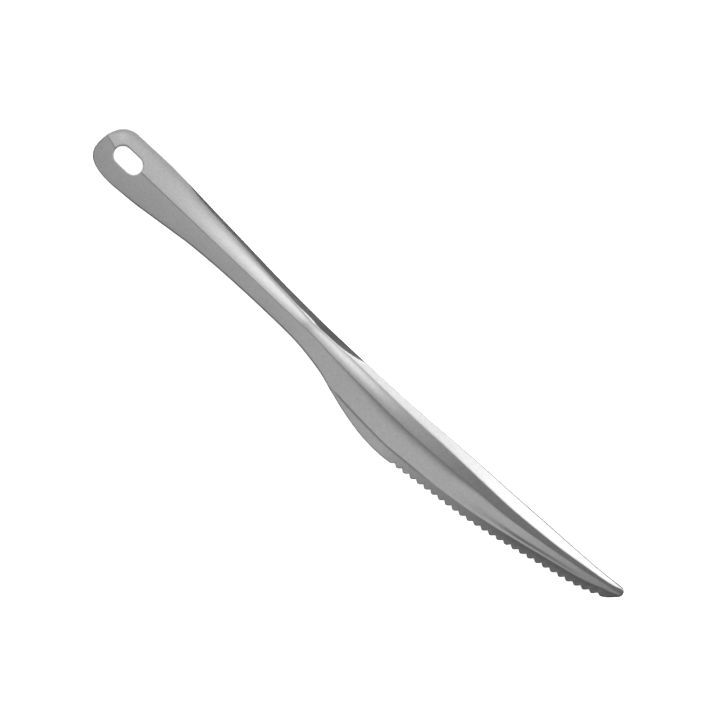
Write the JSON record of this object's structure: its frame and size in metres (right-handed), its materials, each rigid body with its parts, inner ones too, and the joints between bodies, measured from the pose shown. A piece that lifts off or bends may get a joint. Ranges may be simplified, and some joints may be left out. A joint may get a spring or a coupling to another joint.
{
  "type": "serrated clay modeling knife",
  "caption": "One-piece pressed steel clay knife: creased strap handle with a hanging slot, folded back and a serrated bellied blade.",
  "frame": {"origin": "on the resting surface, under the centre of the overall box", "axes": "+X along the tool from the butt end to the tip, +Y towards the folded back, +Z out of the finished face"},
  "size_m": [0.2032, 0.0208, 0.0042],
  "materials": {
    "sheet_steel": "satin, fine grain along the tool"
  },
  "bodies": {
    "root": {"knife_body": "sheet_steel"}
  },
  "joints": []
}
